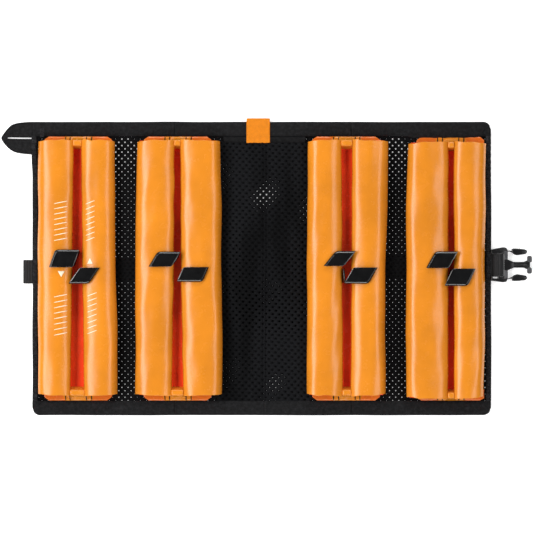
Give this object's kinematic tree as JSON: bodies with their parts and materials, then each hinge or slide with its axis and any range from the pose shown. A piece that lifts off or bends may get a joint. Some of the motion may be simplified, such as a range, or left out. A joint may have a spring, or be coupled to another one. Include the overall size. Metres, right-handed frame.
{
  "type": "roll-up ice screw case",
  "caption": "Folding mesh case with orange tubular sleeves for ice screws, finger retainers, hanging loop and strap buckle.",
  "frame": {"origin": "centre of the open case's bounding box, on the surface it lies on", "axes": "+X along the open case towards the strap buckle, +Y towards the hanging loop and the label, +Z out of the sleeves"},
  "size_m": [0.5518, 0.3086, 0.0256],
  "materials": {
    "mesh_fabric": "matt perforated knit",
    "binding_tape": "matt woven tape",
    "webbing": "ribbed webbing",
    "orange_coated_fabric": "semi-gloss coated",
    "orange_label": "matt woven",
    "black_plastic": "semi-gloss moulded"
  },
  "bodies": {
    "spine": {"spine_backing": "mesh_fabric", "spine_pocket": "mesh_fabric", "spine_pocket_hem": "binding_tape", "spine_top_binding": "binding_tape", "spine_bottom_binding": "binding_tape", "spine_strap": "webbing", "spine_label": "orange_label", "buckle_female_socket": "black_plastic"},
    "left_door": {"left_door_backing": "mesh_fabric", "left_door_top_binding": "binding_tape", "left_door_bottom_binding": "binding_tape", "left_door_strap": "webbing", "left_door_sleeves": "orange_coated_fabric", "left_door_retainer_foot": "black_plastic", "left_side_binding": "binding_tape", "strap_stub": "webbing"},
    "left_door_upper_leaf": {"left_door_retainer_leaf_upper": "black_plastic"},
    "left_door_lower_leaf": {"left_door_retainer_leaf_lower": "black_plastic"},
    "left_inner": {"left_inner_backing": "mesh_fabric", "left_inner_top_binding": "binding_tape", "left_inner_bottom_binding": "binding_tape", "left_inner_strap": "webbing", "left_inner_sleeves": "orange_coated_fabric", "left_inner_retainer_foot": "black_plastic"},
    "left_inner_upper_leaf": {"left_inner_retainer_leaf_upper": "black_plastic"},
    "left_inner_lower_leaf": {"left_inner_retainer_leaf_lower": "black_plastic"},
    "right_inner": {"right_inner_backing": "mesh_fabric", "right_inner_top_binding": "binding_tape", "right_inner_bottom_binding": "binding_tape", "right_inner_strap": "webbing", "right_inner_sleeves": "orange_coated_fabric", "right_inner_retainer_foot": "black_plastic"},
    "right_inner_upper_leaf": {"right_inner_retainer_leaf_upper": "black_plastic"},
    "right_inner_lower_leaf": {"right_inner_retainer_leaf_lower": "black_plastic"},
    "right_door": {"right_door_backing": "mesh_fabric", "right_door_top_binding": "binding_tape", "right_door_bottom_binding": "binding_tape", "right_door_strap": "webbing", "right_door_sleeves": "orange_coated_fabric", "right_door_retainer_foot": "black_plastic", "right_side_binding": "binding_tape"},
    "right_door_upper_leaf": {"right_door_retainer_leaf_upper": "black_plastic"},
    "right_door_lower_leaf": {"right_door_retainer_leaf_lower": "black_plastic"},
    "haul_loop": {"haul_loop": "binding_tape"},
    "buckle_male": {"buckle_male_webbing": "webbing", "buckle_male_frame": "black_plastic"},
    "upper_prong": {"buckle_male_prong_upper": "black_plastic"},
    "lower_prong": {"buckle_male_prong_lower": "black_plastic"}
  },
  "joints": [
    {"name": "left_inner_fold", "type": "hinge", "parent": "spine", "child": "left_inner", "pos_m": [-0.0453, 0, 0.0041], "axis": [0, -1, 0], "range_deg": [-90, 0]},
    {"name": "right_inner_fold", "type": "hinge", "parent": "spine", "child": "right_inner", "pos_m": [0.0412, 0, 0.0041], "axis": [0, 1, 0], "range_deg": [-90, 0]},
    {"name": "left_door_fold", "type": "hinge", "parent": "left_inner", "child": "left_door", "pos_m": [-0.14575, 0, 0.02595], "axis": [0, 1, 0], "range_deg": [0, 178]},
    {"name": "right_door_fold", "type": "hinge", "parent": "right_inner", "child": "right_door", "pos_m": [0.136, 0, 0.02595], "axis": [0, -1, 0], "range_deg": [0, 178]},
    {"name": "left_door_upper_leaf_lift", "type": "hinge", "parent": "left_door", "child": "left_door_upper_leaf", "pos_m": [-0.193, 0.00835, 0.0234], "axis": [0, -1, 0], "range_deg": [-20, 0], "stiffness_Nm_per_rad": 0.02},
    {"name": "left_door_lower_leaf_lift", "type": "hinge", "parent": "left_door", "child": "left_door_lower_leaf", "pos_m": [-0.2, -0.0095, 0.0234], "axis": [0, 1, 0], "range_deg": [-20, 0], "stiffness_Nm_per_rad": 0.02},
    {"name": "left_inner_upper_leaf_lift", "type": "hinge", "parent": "left_inner", "child": "left_inner_upper_leaf", "pos_m": [-0.09, 0.0076, 0.0234], "axis": [0, -1, 0], "range_deg": [-20, 0], "stiffness_Nm_per_rad": 0.02},
    {"name": "left_inner_lower_leaf_lift", "type": "hinge", "parent": "left_inner", "child": "left_inner_lower_leaf", "pos_m": [-0.092, -0.0082, 0.0234], "axis": [0, 1, 0], "range_deg": [-20, 0], "stiffness_Nm_per_rad": 0.02},
    {"name": "right_inner_upper_leaf_lift", "type": "hinge", "parent": "right_inner", "child": "right_inner_upper_leaf", "pos_m": [0.0865, 0.00825, 0.0234], "axis": [0, -1, 0], "range_deg": [-20, 0], "stiffness_Nm_per_rad": 0.02},
    {"name": "right_inner_lower_leaf_lift", "type": "hinge", "parent": "right_inner", "child": "right_inner_lower_leaf", "pos_m": [0.0808, -0.0094, 0.0234], "axis": [0, 1, 0], "range_deg": [-20, 0], "stiffness_Nm_per_rad": 0.02},
    {"name": "right_door_upper_leaf_lift", "type": "hinge", "parent": "right_door", "child": "right_door_upper_leaf", "pos_m": [0.1933, 0.007, 0.0234], "axis": [0, -1, 0], "range_deg": [-20, 0], "stiffness_Nm_per_rad": 0.02},
    {"name": "right_door_lower_leaf_lift", "type": "hinge", "parent": "right_door", "child": "right_door_lower_leaf", "pos_m": [0.1897, -0.0111, 0.0234], "axis": [0, 1, 0], "range_deg": [-20, 0], "stiffness_Nm_per_rad": 0.02},
    {"name": "haul_loop_swing", "type": "hinge", "parent": "left_door", "child": "haul_loop", "pos_m": [-0.2449, 0.1332, 0.002], "axis": [0, -1, 0], "range_deg": [-30, 90]},
    {"name": "buckle_male_swing", "type": "hinge", "parent": "right_door", "child": "buckle_male", "pos_m": [0.2346, 0.0016, 0.0008], "axis": [0, 1, 0], "range_deg": [-30, 90]},
    {"name": "upper_prong_squeeze", "type": "hinge", "parent": "buckle_male", "child": "upper_prong", "pos_m": [0.2512, 0.0167, 0.0037], "axis": [0, 0, -1], "range_deg": [0, 6], "stiffness_Nm_per_rad": 0.3},
    {"name": "lower_prong_squeeze", "type": "hinge", "parent": "buckle_male", "child": "lower_prong", "pos_m": [0.2512, -0.0135, 0.0037], "axis": [0, 0, 1], "range_deg": [0, 6], "stiffness_Nm_per_rad": 0.3}
  ]
}
